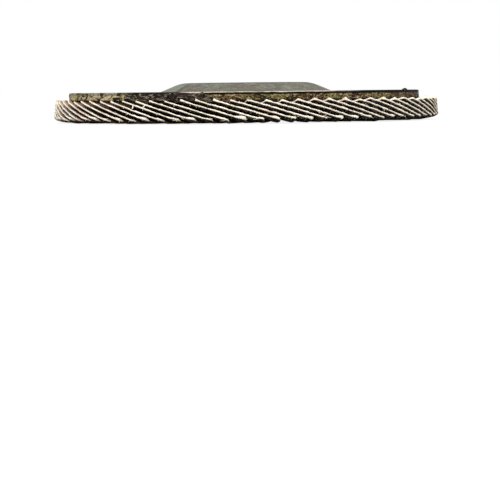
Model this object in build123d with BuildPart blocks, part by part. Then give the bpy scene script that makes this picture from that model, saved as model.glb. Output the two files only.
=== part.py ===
"""Flap disc: overlapping abrasive cloth flaps bonded round a moulded backing plate.

The disc lies on its working face, back upwards. The spindle axis is Z, and z = 0 is where the
lowest flap tips touch. The flaps are laid like roof shingles: each one is glued by its high
end under the plate and runs down, anticlockwise seen from above, to its free end.
"""

from build123d import *
import os
from math import asin, ceil, cos, degrees, radians, sin, sqrt

# ---- driving dimensions, millimetres and degrees ----

disc_diameter = 125.0        # over the outermost corners of the flaps
bore_diameter = 22.23        # standard arbor hole for a 5 inch disc

flap_count = 78
flap_length = 19.8           # along the slope, from the glued end to the free end
flap_reach = 24.0            # radial width of a flap
flap_offset = 2.5            # how far a flap's middle is carried round towards its free end
flap_root_thickness = 0.82   # at the inner end, where the flaps are pressed together
flap_rim_thickness = 0.85    # at the rim, where they open out
flap_clearance = 0.03        # between neighbours where they come nearest
flap_flare_start = 0.3       # out past the edge of the plate, where nothing presses them down
flap_rim_flare = 0.85        # how far they flare up from there to the rim
flaps_per_node = 2

plate_overhang = 5.5         # how far the flaps stand out past the plate
plate_thickness = 2.4

hub_height = 2.8             # raised centre, above the back of the plate
hub_top_diameter = 42.2      # where its side would meet its top with no rounding
hub_base_diameter = 55.5
hub_wall = 3.0               # clamped between the spindle flange and the nut
hub_shoulder_radius = 12.0

recess_floor_diameter = 43.0  # takes the flange nut
recess_mouth_diameter = 57.0
recess_corner_radius = 1.5
recess_lip_radius = 2.5

ring_wall = 0.6
ring_flange_diameter = 29.0
ring_flange_thickness = 0.6
ring_clearance = 0.02        # all round the pressed-in ring

resin_cover = 0.73           # resin between the plate and the highest flap under it
resin_grip = 0.75            # how far the resin reaches down round the glued ends
resin_root_margin = 1.6      # in from the inner ends of the flaps
resin_rim_margin = 1.4       # in from the edge of the plate

# ---- how the flaps nest ----

disc_radius = disc_diameter / 2
flap_step = 360 / flap_count
flap_outer = sqrt(disc_radius**2 - (flap_length / 2 + flap_offset) ** 2)
flap_inner = flap_outer - flap_reach
glued_side = flap_length / 2 - flap_offset

plate_radius = disc_radius - plate_overhang
bend_radius = plate_radius + flap_flare_start


def pitch(x):
    """Distance from one flap to the next, at a distance x out from the axis."""
    turn = radians(flap_step)
    return x * sin(turn) - glued_side * (1 - cos(turn))


# The flaps lean just enough for each to lie on the next one, at the root and at the rim.
lean = max(
    (flap_root_thickness + flap_clearance) / pitch(flap_inner),
    (flap_rim_thickness + flap_clearance) / pitch(flap_outer),
)
slope = degrees(asin(lean))
upright = cos(radians(slope))


def thickness(x):
    """Thickness of a flap at a distance x out from the axis."""
    share = (x - flap_inner) / flap_reach
    return flap_root_thickness + (flap_rim_thickness - flap_root_thickness) * share


# Heights of a flap's grit side in its middle and at its glued end, and of its upper side there.
middle_height = flap_length / 2 * lean
glued_end = 2 * middle_height
root_top = glued_end + flap_root_thickness * upright
rim_top = glued_end + (flap_rim_flare + flap_rim_thickness) * upright

# ---- levels and radii of the plate ----

plate_bottom = glued_end + max(flap_root_thickness, thickness(plate_radius)) * upright + resin_cover
plate_top = plate_bottom + plate_thickness
hub_top = plate_top + hub_height
recess_floor = hub_top - hub_wall

bore_radius = bore_diameter / 2
ring_radius = bore_radius + ring_wall
flange_radius = ring_flange_diameter / 2
flange_seat = hub_top - ring_flange_thickness


def circles_at(part, radius, height):
    """Round edges of a turned part at one radius and height."""
    edges = part.edges().filter_by(GeomType.CIRCLE)
    return edges.filter_by(
        lambda edge: abs(edge.radius - radius) < 0.01 and abs(edge.arc_center.Z - height) < 0.01
    )


# ---- backing plate: glass-fibre laminate, moulded in one with its raised hub ----

with BuildPart() as backing_plate:
    with BuildSketch(Plane.XZ) as plate_section:
        with BuildLine():
            Polyline(
                (ring_radius + ring_clearance, recess_floor),
                (recess_floor_diameter / 2, recess_floor),
                (recess_mouth_diameter / 2, plate_bottom),
                (plate_radius, plate_bottom),
                (plate_radius, plate_top),
                (hub_base_diameter / 2, plate_top),
                (hub_top_diameter / 2, hub_top),
                (flange_radius + ring_clearance, hub_top),
                (flange_radius + ring_clearance, flange_seat),
                (ring_radius + ring_clearance, flange_seat),
                close=True,
            )
        make_face()
    revolve(axis=Axis.Z)
    fillet(circles_at(backing_plate, hub_top_diameter / 2, hub_top), hub_shoulder_radius)
    fillet(circles_at(backing_plate, recess_floor_diameter / 2, recess_floor), recess_corner_radius)
    fillet(circles_at(backing_plate, recess_mouth_diameter / 2, plate_bottom), recess_lip_radius)

# ---- arbor ring: pressed steel eyelet that lines the hole, its flange flush with the hub ----

with BuildPart() as arbor_ring:
    with BuildSketch(Plane.XY.offset(recess_floor)):
        Circle(ring_radius)
        Circle(bore_radius, mode=Mode.SUBTRACT)
    extrude(amount=hub_wall)
    with BuildSketch(Plane.XY.offset(hub_top)):
        Circle(flange_radius)
        Circle(bore_radius, mode=Mode.SUBTRACT)
    extrude(amount=-ring_flange_thickness)

# ---- one flap: a strip of coated cloth that runs down the slope, flared up along the rim ----

down_slope = Vector(0, upright, -lean)
middle_of_flap = Plane(
    origin=Vector(0, flap_offset, middle_height),
    x_dir=(1, 0, 0),
    z_dir=down_slope,
)

with BuildPart() as flap:
    with BuildSketch(middle_of_flap):
        with BuildLine():
            Polyline(
                (flap_inner, 0),
                (bend_radius, 0),
                (flap_outer, -flap_rim_flare),
                (flap_outer, -flap_rim_flare - flap_rim_thickness),
                (bend_radius, -thickness(bend_radius)),
                (flap_inner, -flap_root_thickness),
                close=True,
            )
        make_face()
    extrude(amount=flap_length / 2, both=True)

# ---- adhesive bed: cured resin under the plate, grooved by the flap ends that sit in it ----

with BuildPart() as adhesive_bed:
    with BuildSketch(Plane.XY.offset(plate_bottom)):
        Circle(plate_radius - resin_rim_margin)
        Circle(flap_inner + resin_root_margin, mode=Mode.SUBTRACT)
    extrude(amount=-resin_cover - resin_grip)
    with PolarLocations(0, flap_count):
        add(flap.part, mode=Mode.SUBTRACT)

# ---- output: one file for each node, the flaps in neighbouring pairs ----

os.makedirs("parts", exist_ok=True)

backing_plate.part.label = "backing_plate"
arbor_ring.part.label = "arbor_ring"
adhesive_bed.part.label = "adhesive_bed"
for piece in (backing_plate, arbor_ring, adhesive_bed):
    export_step(piece.part, f"parts/{piece.part.label}.step")

for node in range(ceil(flap_count / flaps_per_node)):
    first = node * flaps_per_node
    in_node = min(flaps_per_node, flap_count - first)
    with BuildPart() as flap_group:
        with PolarLocations(0, in_node, first * flap_step, in_node * flap_step):
            add(flap.part)
    flap_group.part.label = f"flap_pair_{node + 1:02d}"
    export_step(flap_group.part, f"parts/{flap_group.part.label}.step")

print(f"flap slope {slope:.2f} deg, flap tops {root_top:.2f} at the root, {rim_top:.2f} at the rim")
print(f"plate {plate_bottom:.2f} to {plate_top:.2f}, hub top {hub_top:.2f}, floor {recess_floor:.2f}")
print(f"flaps from {flap_inner:.2f} to {flap_outer:.2f}, flap volume {flap.part.volume:.1f}")
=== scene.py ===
"""Looks of a flap disc: abrasive cloth flaps glued in a ring under a glass-fibre backing plate.

All sizes are millimetres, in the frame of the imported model: the spindle axis is Z, and z = 0 is
where the lowest flap tips touch. Azimuths are degrees, anticlockwise from +X seen from above.
"""

import itertools
import logging
from dataclasses import dataclass, field
from enum import Enum
from typing import Any

import bpy
import numpy as np
from mathutils import Matrix, Vector


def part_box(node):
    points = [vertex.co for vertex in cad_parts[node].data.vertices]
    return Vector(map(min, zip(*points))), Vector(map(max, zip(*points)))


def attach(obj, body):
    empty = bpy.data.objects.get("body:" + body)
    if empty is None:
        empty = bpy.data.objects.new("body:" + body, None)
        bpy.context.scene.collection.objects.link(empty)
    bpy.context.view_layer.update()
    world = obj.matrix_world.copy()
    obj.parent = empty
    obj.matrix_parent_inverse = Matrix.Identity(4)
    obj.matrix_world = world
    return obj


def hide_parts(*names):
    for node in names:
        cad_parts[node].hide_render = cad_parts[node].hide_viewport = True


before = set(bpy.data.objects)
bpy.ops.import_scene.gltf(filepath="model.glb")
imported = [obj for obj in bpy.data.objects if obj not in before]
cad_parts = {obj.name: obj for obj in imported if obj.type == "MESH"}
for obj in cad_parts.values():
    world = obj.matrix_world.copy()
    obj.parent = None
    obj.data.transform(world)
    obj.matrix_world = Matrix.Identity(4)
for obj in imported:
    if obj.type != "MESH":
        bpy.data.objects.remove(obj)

MM = 0.001
LOG = logging.getLogger("flap_disc")


# ---- shared helpers: numbers ----


def smooth(value: np.ndarray) -> np.ndarray:
    """Smooth step from 0 to 1: 3t^2 - 2t^3, held flat outside 0 to 1."""
    t = np.clip(value, 0.0, 1.0)
    return t * t * (3.0 - 2.0 * t)


def value_noise(points: np.ndarray, seed: int) -> np.ndarray:
    """Smooth random values between 0 and 1, one for each point.

    Every corner of the unit cell round a point has a fixed random number, hashed from its
    whole-number place, and the corners are blended with the smooth step along each axis.

    Args:
        points: places in cells, shaped (..., axes).
        seed: picks another set of random numbers.

    Returns:
        The values, shaped like the points without their last axis.
    """
    cell = np.floor(points)
    blend = smooth(points - cell)
    key = np.array((12.9898, 78.233, 37.719))[: points.shape[-1]]
    total = np.zeros(points.shape[:-1])
    for corner in itertools.product((0, 1), repeat=points.shape[-1]):
        weight = np.prod(np.where(corner, blend, 1.0 - blend), axis=-1)
        hashed = np.sin((cell + corner) @ key + seed * 7.137) * 43758.5453
        total += weight * (hashed - np.floor(hashed))
    return total


def ripple(points: np.ndarray, seed: int) -> np.ndarray:
    """Two layers of noise between about -1 and 1, the second twice as fine and half as strong.

    Args:
        points: places in cells of the first layer, shaped (..., axes).
        seed: picks another set of random numbers.

    Returns:
        The values, shaped like the points without their last axis.
    """
    coarse = value_noise(points, seed) * 2.0 - 1.0
    fine = value_noise(points * 2.1 + 5.3, seed + 1) * 2.0 - 1.0
    return (coarse + 0.5 * fine) / 1.5


# ---- shared helpers: surfaces ----


class Side(Enum):
    """The six sides of a lattice of points, by axis and end."""

    INNER = 0
    RIM = 1
    GLUED_END = 2
    FREE_END = 3
    UNDER = 4
    UPPER = 5


@dataclass
class Shell:
    """A closed surface: points in millimetres, four-sided faces and what each of them carries."""

    points: np.ndarray
    quads: np.ndarray
    slots: np.ndarray
    fields: dict[str, np.ndarray] = field(default_factory=dict)

    @staticmethod
    def joined(shells: list["Shell"]) -> "Shell":
        """Put several shells that carry the same fields into one.

        Args:
            shells: the shells, in order.

        Returns:
            One shell with all their points and faces.
        """
        starts = np.cumsum([0] + [len(shell.points) for shell in shells[:-1]])
        return Shell(
            np.concatenate([shell.points for shell in shells]),
            np.concatenate([shell.quads + start for shell, start in zip(shells, starts)]),
            np.concatenate([shell.slots for shell in shells]),
            {
                name: np.concatenate([shell.fields[name] for shell in shells])
                for name in shells[0].fields
            },
        )


def grid_quads(number: np.ndarray) -> np.ndarray:
    """Faces over a grid of point numbers, facing along (first axis) x (second axis)."""
    corners = (number[:-1, :-1], number[1:, :-1], number[1:, 1:], number[:-1, 1:])
    return np.stack(corners, axis=-1).reshape(-1, 4)


def box_shell(counts: tuple[int, int, int]) -> tuple[np.ndarray, np.ndarray, np.ndarray, np.ndarray]:
    """Faces over the six sides of a right-handed lattice of points, all facing outwards.

    Args:
        counts: how many points the lattice has along each axis.

    Returns:
        The numbers of the lattice points in use, the faces over them, the Side of each face, and
        the lowest third-axis place of each face.
    """
    number = np.arange(np.prod(counts)).reshape(counts)
    sides = {
        Side.INNER: number[0].T,
        Side.RIM: number[-1],
        Side.GLUED_END: number[:, 0],
        Side.FREE_END: number[:, -1].T,
        Side.UNDER: number[:, :, 0].T,
        Side.UPPER: number[:, :, -1],
    }
    faces = [grid_quads(grid) for grid in sides.values()]
    side = np.repeat([key.value for key in sides], [len(each) for each in faces])
    quads = np.concatenate(faces)
    used = np.unique(quads)
    return used, np.searchsorted(used, quads), side, (quads % counts[2]).min(axis=1)


def round_corners(corners: np.ndarray, radii: np.ndarray, steps: int) -> np.ndarray:
    """Round every corner of a closed outline with a tangent arc.

    The arc of radius r at a corner where the outline turns by an angle a starts r tan(a/2) before
    the corner, and is the start point turned about the arc's centre by equal shares of a.

    Args:
        corners: the corners, shaped (n, 2).
        radii: one radius for each corner.
        steps: points on each arc.

    Returns:
        The rounded outline, shaped (n * steps, 2).
    """
    along_in = corners - np.roll(corners, 1, axis=0)
    along_in /= np.linalg.norm(along_in, axis=1, keepdims=True)
    along_out = np.roll(along_in, -1, axis=0)
    turn = np.arctan2(
        along_in[:, 0] * along_out[:, 1] - along_in[:, 1] * along_out[:, 0],
        (along_in * along_out).sum(axis=1),
    )
    start = corners - along_in * (radii * np.tan(np.abs(turn) / 2))[:, None]
    towards = np.stack((-along_in[:, 1], along_in[:, 0]), axis=1) * np.sign(turn)[:, None]
    centre = start + towards * radii[:, None]
    angle = turn[:, None] * np.linspace(0.0, 1.0, steps)
    arm = (start - centre)[:, None, :]
    turned = np.stack(
        (
            arm[..., 0] * np.cos(angle) - arm[..., 1] * np.sin(angle),
            arm[..., 0] * np.sin(angle) + arm[..., 1] * np.cos(angle),
        ),
        axis=-1,
    )
    return (centre[:, None, :] + turned).reshape(-1, 2)


def fill_runs(outline: np.ndarray, longest: np.ndarray) -> np.ndarray:
    """Divide the steps of a closed outline evenly, so that none is longer than its limit.

    Args:
        outline: the points, shaped (n, 2).
        longest: the limit for the step that follows each point.

    Returns:
        The outline with the added points.
    """
    step = np.roll(outline, -1, axis=0) - outline
    count = np.maximum(1, np.ceil(np.linalg.norm(step, axis=1) / longest)).astype(int)
    start = np.repeat(np.arange(len(outline)), count)
    place = np.arange(count.sum()) - np.repeat(np.cumsum(count) - count, count)
    return outline[start] + step[start] * (place / np.repeat(count, count))[:, None]


def turned_quads(segments: int, around: int) -> np.ndarray:
    """Faces of a closed outline carried once round the axis, joined up both ways.

    Args:
        segments: how many times the outline is set down round the axis.
        around: how many points the outline has.

    Returns:
        The faces, as numbers of the points in that order.
    """
    number = np.arange(segments * around).reshape(segments, around)
    wrapped = np.concatenate((number, number[:1]))
    return grid_quads(np.concatenate((wrapped, wrapped[:, :1]), axis=1))


def on_axis(radius: np.ndarray, height: np.ndarray, azimuth: np.ndarray) -> np.ndarray:
    """Points from a radius, a height and an azimuth in radians."""
    radius, height, azimuth = np.broadcast_arrays(radius, height, azimuth)
    return np.stack((radius * np.cos(azimuth), radius * np.sin(azimuth), height), axis=-1)


# ---- shared helpers: materials ----


def linear(code: str) -> tuple[float, float, float, float]:
    """Turn an sRGB colour into Blender's linear one.

    Each channel over 255 is divided by 12.92 below 0.04045, and is otherwise raised to the
    power 2.4 after adding 0.055 and dividing by 1.055.

    Args:
        code: the colour, as a hash and six hex digits.

    Returns:
        Linear red, green, blue and an alpha of 1.
    """
    value = np.array([int(code[i : i + 2], 16) for i in (1, 3, 5)]) / 255.0
    value = np.where(value <= 0.04045, value / 12.92, ((value + 0.055) / 1.055) ** 2.4)
    return (float(value[0]), float(value[1]), float(value[2]), 1.0)


def grain(size: float) -> float:
    """Noise scale on Object coordinates, which are metres, for a grain of this many millimetres."""
    return 1.0 / (size * MM)


def bands(period: float) -> float:
    """Wave texture scale for bands this far apart: the texture repeats each 2 pi / 20 units."""
    return 2.0 * np.pi / 20.0 / period


def add_node(
    tree: bpy.types.NodeTree,
    kind: str,
    inputs: dict[str | int, Any] | None = None,
    stops: dict[float, str] | None = None,
    **settings: Any,
) -> bpy.types.Node:
    """Add a node with its settings and links.

    Args:
        tree: the node tree.
        kind: the node's type.
        inputs: what each socket takes: a value, an sRGB hex colour, the output that feeds it, or
            the node whose first output in use feeds it.
        stops: the places and sRGB hex colours of a colour ramp.
        settings: the node's other properties.

    Returns:
        The node.
    """
    node = tree.nodes.new(kind)
    for name, value in settings.items():
        setattr(node, name, value)
    for place, (position, colour) in enumerate((stops or {}).items()):
        if place == len(node.color_ramp.elements):
            node.color_ramp.elements.new(1.0)
        node.color_ramp.elements[place].position = position
        node.color_ramp.elements[place].color = linear(colour)
    for socket, value in (inputs or {}).items():
        if isinstance(value, bpy.types.Node):
            value = next(output for output in value.outputs if output.enabled)
        if isinstance(value, bpy.types.NodeSocket):
            tree.links.new(value, node.inputs[socket])
        else:
            node.inputs[socket].default_value = linear(value) if isinstance(value, str) else value
    return node


@dataclass(frozen=True)
class Finish:
    """A surface finish, made into a material once."""

    name: str = "finish"

    def material(self) -> bpy.types.Material:
        """Draw the finish's nodes the first time that it is asked for.

        Returns:
            The finish's one material.
        """
        found = bpy.data.materials.get(self.name)
        if found:
            return found
        made = bpy.data.materials.new(self.name)
        made.use_nodes = True
        made.node_tree.nodes.clear()
        shader = add_node(made.node_tree, "ShaderNodeBsdfPrincipled", self.sockets(made.node_tree))
        add_node(made.node_tree, "ShaderNodeOutputMaterial", {"Surface": shader})
        return made

    def sockets(self, tree: bpy.types.NodeTree) -> dict[str, Any]:
        """Draw the finish's own nodes.

        Args:
            tree: the material's node tree.

        Returns:
            What each socket of the finish's shader takes.
        """
        raise NotImplementedError

    @staticmethod
    def coat(
        tree: bpy.types.NodeTree,
        under: Any,
        over: Any,
        where: tuple[Any, float, float],
        most: float = 1.0,
        times: Any = None,
    ) -> bpy.types.Node:
        """Lay one colour over another.

        Args:
            tree: the node tree.
            under: the colour underneath.
            over: the colour laid over it.
            where: a value, where it has no coat yet and where it has a full one.
            most: how much of the lower colour a full coat hides.
            times: multiplies that, or None.

        Returns:
            The node with the coated colour.
        """
        value, bare, full = where
        amount = add_node(
            tree,
            "ShaderNodeMapRange",
            {"Value": value, "From Min": bare, "From Max": full, "To Max": most},
        )
        if times is not None:
            amount = add_node(tree, "ShaderNodeMath", {0: amount, 1: times}, operation="MULTIPLY")
        return add_node(tree, "ShaderNodeMix", {0: amount, 6: under, 7: over}, data_type="RGBA")


@dataclass(frozen=True)
class GlassFibreLaminate(Finish):
    """Phenolic resin pressed into layers of woven glass roving, sawn round at the edge.

    The eye gets a smooth grey-brown skin on the back, whose arris is a thin pale line of painted
    highlight, and at the sawn edge tan and olive glass with many dark resin spots under one dark
    layer. At the left end, where the edge is met at a slant, the spots are broader and the glass is
    paler. Clumps of glass and spots of resin are as large as the yarns and the gaps between them, 1
    to 2 mm.
    """

    name: str = "glass_fibre_laminate"
    tan: tuple[str, ...] = ("#160e07", "#48361f", "#7c6647", "#9c8763", "#c8b898")
    olive: tuple[str, ...] = ("#14100a", "#484023", "#787045", "#968d5f", "#bab187")
    tones: tuple[float, ...] = (0.4, 0.46, 0.52, 0.58, 0.68)
    spot: str = "#171008"
    brown: str = "#3d2d1c"
    dark_layer: str = "#100b05"
    # Colour of the painted highlight along the arris.
    arris_highlight: str = "#cfc3b2"
    skin: str = "#6e6e63"
    skin_yarn: str = "#66665b"
    stain: str = "#675c50"
    scuff: str = "#55493f"
    bloom: str = "#8b8c80"
    # Painted light on the hub's left flank, and the painted shade line along its border.
    painted_flank_light: str = "#777b6f"
    painted_flank_shade_line: str = "#3a3b33"
    crown: str = "#42433a"
    glass_clump: float = 1.3
    broad_clump: float = 3.0
    resin_spot: float = 1.9
    broad_spot: float = 3.6
    tone_patch: float = 6.0
    layer_wander: float = 2.6
    yarn_width: float = 1.25
    stain_patch: float = 7.0
    scuff_mark: float = 2.6
    flat_marks: tuple[float, float, float] = (1.0, 1.0, 2.4)
    left_tone: float = 0.13
    left_spots: float = -0.035
    left_layer: float = -0.6
    top: float = 9.6
    hub_top: float = 12.4

    def sockets(self, tree: bpy.types.NodeTree) -> dict[str, Any]:
        """Sawn layers on the edge and skin elsewhere, told apart by the edge field.

        Args:
            tree: the material's node tree.

        Returns:
            What the shader's sockets take.
        """
        place = add_node(tree, "ShaderNodeTexCoord").outputs["Object"]
        edge, left = (
            add_node(tree, "ShaderNodeAttribute", attribute_name=name).outputs["Fac"]
            for name in ("edge", "left")
        )
        squeezed = add_node(tree, "ShaderNodeMapping", {"Vector": place, "Scale": (0.7, 0.7, 1.6)})
        fine = {
            "Vector": squeezed, "Scale": grain(self.glass_clump), "Detail": 4.0, "Roughness": 0.68,
            "Distortion": 1.6,
        }
        broad = fine | {"Scale": grain(self.broad_clump), "Detail": 3.0, "Roughness": 0.6}
        mottle = add_node(
            tree,
            "ShaderNodeMix",
            {
                0: left,
                6: add_node(tree, "ShaderNodeTexNoise", fine),
                7: add_node(tree, "ShaderNodeTexNoise", broad),
            },
            data_type="RGBA",
        )
        weave = self.weave(tree, place)
        colour = add_node(
            tree,
            "ShaderNodeMix",
            {0: edge, 6: self.skin_colour(tree, place, weave), 7: self.layers(tree, place, mottle, left)},
            data_type="RGBA",
        )
        relief = add_node(
            tree, "ShaderNodeBump", {"Height": weave, "Strength": 0.1, "Distance": 0.06 * MM}
        )
        depth = add_node(tree, "ShaderNodeMapRange", {"Value": edge, "To Min": 0.12, "To Max": 0.6})
        relief = add_node(
            tree,
            "ShaderNodeBump",
            {"Height": mottle, "Strength": depth, "Distance": 0.3 * MM, "Normal": relief},
        )
        roughness = add_node(
            tree,
            "ShaderNodeMapRange",
            {"Value": mottle, "From Min": 0.3, "From Max": 0.7, "To Min": 0.5, "To Max": 0.68},
        )
        return {
            "Base Color": colour, "Roughness": roughness, "Normal": relief, "Specular IOR Level": 0.06
        }

    def weave(self, tree: bpy.types.NodeTree, place: bpy.types.NodeSocket) -> bpy.types.Node:
        """Plain weave: the greater of two sets of bands across each other, one yarn apart.

        Args:
            tree: the material's node tree.
            place: the Object coordinates.

        Returns:
            The node whose value is 1 along the yarns.
        """
        period = {"Vector": place, "Scale": bands(self.yarn_width * MM), "Distortion": 0.6, "Detail": 1.0}
        across, along = (
            add_node(tree, "ShaderNodeTexWave", period, bands_direction=axis).outputs["Fac"]
            for axis in ("X", "Y")
        )
        return add_node(tree, "ShaderNodeMath", {0: across, 1: along}, operation="MAXIMUM")

    def layers(
        self,
        tree: bpy.types.NodeTree,
        place: bpy.types.NodeSocket,
        mottle: bpy.types.Node,
        left: bpy.types.NodeSocket,
    ) -> bpy.types.Node:
        """Colour of the sawn edge.

        Args:
            tree: the node tree.
            place: the Object coordinates.
            mottle: clumps of glass and resin, about 0.5.
            left: 1 at the left end of the plate and 0 elsewhere.

        Returns:
            The node with the colour.
        """
        browned, arris_highlight_share = (
            add_node(tree, "ShaderNodeAttribute", attribute_name=name).outputs["Fac"]
            for name in ("browned", "arris_highlight_share")
        )
        toned = add_node(
            tree, "ShaderNodeMath", {0: left, 1: self.left_tone, 2: mottle}, operation="MULTIPLY_ADD"
        )
        tan, olive = (
            add_node(tree, "ShaderNodeValToRGB", {"Fac": toned}, stops=dict(zip(self.tones, colours)))
            for colours in (self.tan, self.olive)
        )
        cloud = add_node(
            tree,
            "ShaderNodeTexNoise",
            {"Vector": place, "Scale": grain(self.tone_patch), "Detail": 3.0},
        )
        colour = self.coat(tree, tan, olive, (cloud, 0.44, 0.58))

        flattened = add_node(tree, "ShaderNodeMapping", {"Vector": place, "Scale": self.flat_marks})
        fine = {
            "Vector": flattened, "Scale": grain(self.resin_spot), "Detail": 2.0, "Roughness": 0.6,
            "Distortion": 2.2,
        }
        broad = fine | {"Scale": grain(self.broad_spot), "Distortion": 1.6}
        spots = add_node(
            tree,
            "ShaderNodeMix",
            {
                0: left,
                6: add_node(tree, "ShaderNodeTexNoise", fine),
                7: add_node(tree, "ShaderNodeTexNoise", broad),
            },
            data_type="RGBA",
        )
        spots = add_node(
            tree, "ShaderNodeMath", {0: left, 1: self.left_spots, 2: spots}, operation="MULTIPLY_ADD"
        )
        colour = self.coat(tree, colour, self.spot, (spots, 0.44, 0.38), most=0.92)
        colour = self.coat(tree, colour, self.brown, (browned, 0.0, 1.0), most=0.7)

        height = add_node(tree, "ShaderNodeSeparateXYZ", {"Vector": place}).outputs["Z"]
        wander = add_node(
            tree, "ShaderNodeTexNoise", {"Vector": place, "Scale": grain(self.layer_wander)}
        )
        level = add_node(
            tree, "ShaderNodeMath", {0: wander, 1: 0.4 * MM, 2: height}, operation="MULTIPLY_ADD"
        )
        layer = add_node(
            tree, "ShaderNodeMath", {0: left, 1: self.left_layer, 2: 1.0}, operation="MULTIPLY_ADD"
        )
        lower, upper = (self.top - 0.74) * MM, (self.top - 0.56) * MM
        colour = self.coat(tree, colour, self.dark_layer, (level, lower, upper), times=layer)
        # Thin pale line along the arris: a painted highlight, on the stretch the field gives.
        lower, upper = (self.top - 0.08) * MM, (self.top - 0.01) * MM
        return self.coat(tree, colour, self.arris_highlight, (level, lower, upper), times=arris_highlight_share)

    def skin_colour(
        self, tree: bpy.types.NodeTree, place: bpy.types.NodeSocket, weave: bpy.types.Node
    ) -> bpy.types.Node:
        """Colour of the moulded skin: stained, scuffed on the proud hub, with painted light and a line of
        painted shade on one flank, and dark on top.

        Args:
            tree: the node tree.
            place: the Object coordinates.
            weave: 1 along the yarns.

        Returns:
            The node with the colour.
        """
        colour = self.coat(tree, self.skin, self.skin_yarn, (weave, 0.4, 0.95))
        dirt = add_node(
            tree,
            "ShaderNodeTexNoise",
            {
                "Vector": place, "Scale": grain(self.stain_patch), "Detail": 6.0,
                "Roughness": 0.65,
            },
        )
        colour = self.coat(tree, colour, self.stain, (dirt, 0.4, 0.7))
        flattened = add_node(tree, "ShaderNodeMapping", {"Vector": place, "Scale": self.flat_marks})
        scuffs = add_node(
            tree,
            "ShaderNodeTexNoise",
            {
                "Vector": flattened, "Scale": grain(self.scuff_mark), "Detail": 3.0, "Roughness": 0.65,
                "Distortion": 1.0,
            },
        )
        height = add_node(tree, "ShaderNodeSeparateXYZ", {"Vector": place}).outputs["Z"]
        proud = add_node(
            tree,
            "ShaderNodeMapRange",
            {
                "Value": height, "From Min": (self.top + 0.1) * MM, "From Max": (self.top + 0.8) * MM,
                "To Min": 0.14, "To Max": 0.58,
            },
        )
        colour = self.coat(tree, colour, self.scuff, (scuffs, 0.5, 0.36), times=proud)
        colour = self.coat(tree, colour, self.bloom, (scuffs, 0.5, 0.64), times=proud)
        # Painted light: a pale patch on the hub's left flank, and below 0 a line of painted shade along
        # its border.
        painted_flank_light = add_node(tree, "ShaderNodeAttribute", attribute_name="painted_flank_light").outputs["Fac"]
        colour = self.coat(tree, colour, self.painted_flank_light, (painted_flank_light, 0.0, 1.0))
        colour = self.coat(tree, colour, self.painted_flank_shade_line, (painted_flank_light, 0.0, -1.0))
        lower, upper = (self.hub_top - 0.4) * MM, (self.hub_top - 0.12) * MM
        return self.coat(tree, colour, self.crown, (height, lower, upper), most=0.65)


@dataclass(frozen=True)
class ZincPlatedSteel(Finish):
    """Thin pressed steel with a bright zinc coat, which gives a soft bluish-grey shine."""

    name: str = "zinc_plated_steel"
    zinc: str = "#a9abab"
    dull: str = "#858682"
    cloud_size: float = 4.0
    press_mark: float = 0.5

    def sockets(self, tree: bpy.types.NodeTree) -> dict[str, Any]:
        """Metal with cloudy dulling and fine press marks.

        Args:
            tree: the material's node tree.

        Returns:
            What the shader's sockets take.
        """
        place = add_node(tree, "ShaderNodeTexCoord").outputs["Object"]
        cloud = add_node(
            tree,
            "ShaderNodeTexNoise",
            {"Vector": place, "Scale": grain(self.cloud_size), "Detail": 4.0},
        )
        marks = add_node(
            tree,
            "ShaderNodeTexNoise",
            {"Vector": place, "Scale": grain(self.press_mark), "Detail": 2.0},
        )
        roughness = add_node(
            tree,
            "ShaderNodeMapRange",
            {"Value": cloud, "From Min": 0.3, "From Max": 0.7, "To Min": 0.38, "To Max": 0.55},
        )
        relief = add_node(
            tree, "ShaderNodeBump", {"Height": marks, "Strength": 0.2, "Distance": 0.04 * MM}
        )
        return {
            "Base Color": self.coat(tree, self.zinc, self.dull, (cloud, 0.4, 0.7)),
            "Roughness": roughness, "Normal": relief, "Metallic": 1.0,
        }


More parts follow.
